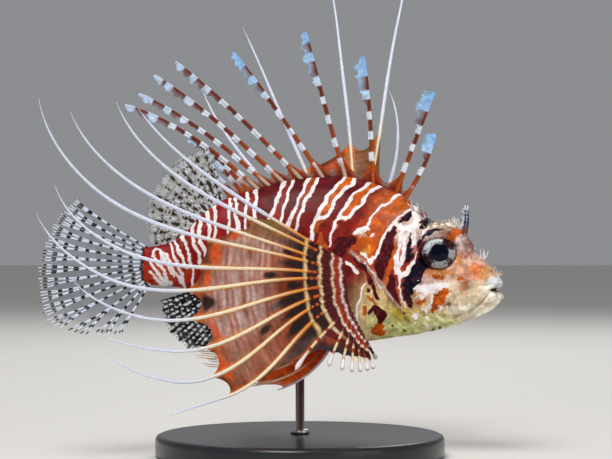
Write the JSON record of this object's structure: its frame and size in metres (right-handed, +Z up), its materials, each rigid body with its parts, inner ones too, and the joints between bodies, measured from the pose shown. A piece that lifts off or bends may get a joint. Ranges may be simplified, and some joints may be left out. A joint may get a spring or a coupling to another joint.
{
  "type": "spotfin lionfish display model",
  "caption": "Life-size still model of a lionfish with fanned spotted pectoral fins, long free fin threads and banded back spines, on a round stand.",
  "frame": {"origin": "centre of the stand's underside, on the surface that the model stands on", "axes": "+Z up, +X towards the snout, +Y towards the fish's left side"},
  "size_m": [0.1645, 0.1468, 0.1927],
  "materials": {
    "head_skin": "painted resin, satin, as wet fish skin",
    "jaw_skin": "painted resin, satin, cream with blotches",
    "body_skin": "painted resin, satin, dark red bars and pale lines",
    "eye": "clear gloss over a painted iris",
    "spines": "painted resin, banded",
    "pectoral_fin": "tinted translucent resin with pale rays and dark spots",
    "pelvic_fin": "tinted translucent resin",
    "clear_fin": "translucent resin with banded rays",
    "stand_base": "satin black lacquer",
    "stand_rod": "brushed stainless steel"
  },
  "bodies": {
    "root": {"head": "head_skin", "gill_cover_right": "head_skin", "gill_cover_left": "head_skin", "lower_jaw": "jaw_skin", "eye_right": "eye", "eye_left": "eye", "trunk_front": "body_skin", "trunk_rear": "body_skin", "tail_stem": "body_skin", "dorsal_fin_spiny": "spines", "dorsal_fin_soft": "clear_fin", "caudal_fin": "clear_fin", "anal_fin": "clear_fin", "pectoral_fin_right": "pectoral_fin", "pectoral_fin_left": "pectoral_fin", "pelvic_fin_right": "pelvic_fin", "pelvic_fin_left": "pelvic_fin", "stand_base": "stand_base", "stand_rod": "stand_rod"}
  },
  "joints": []
}
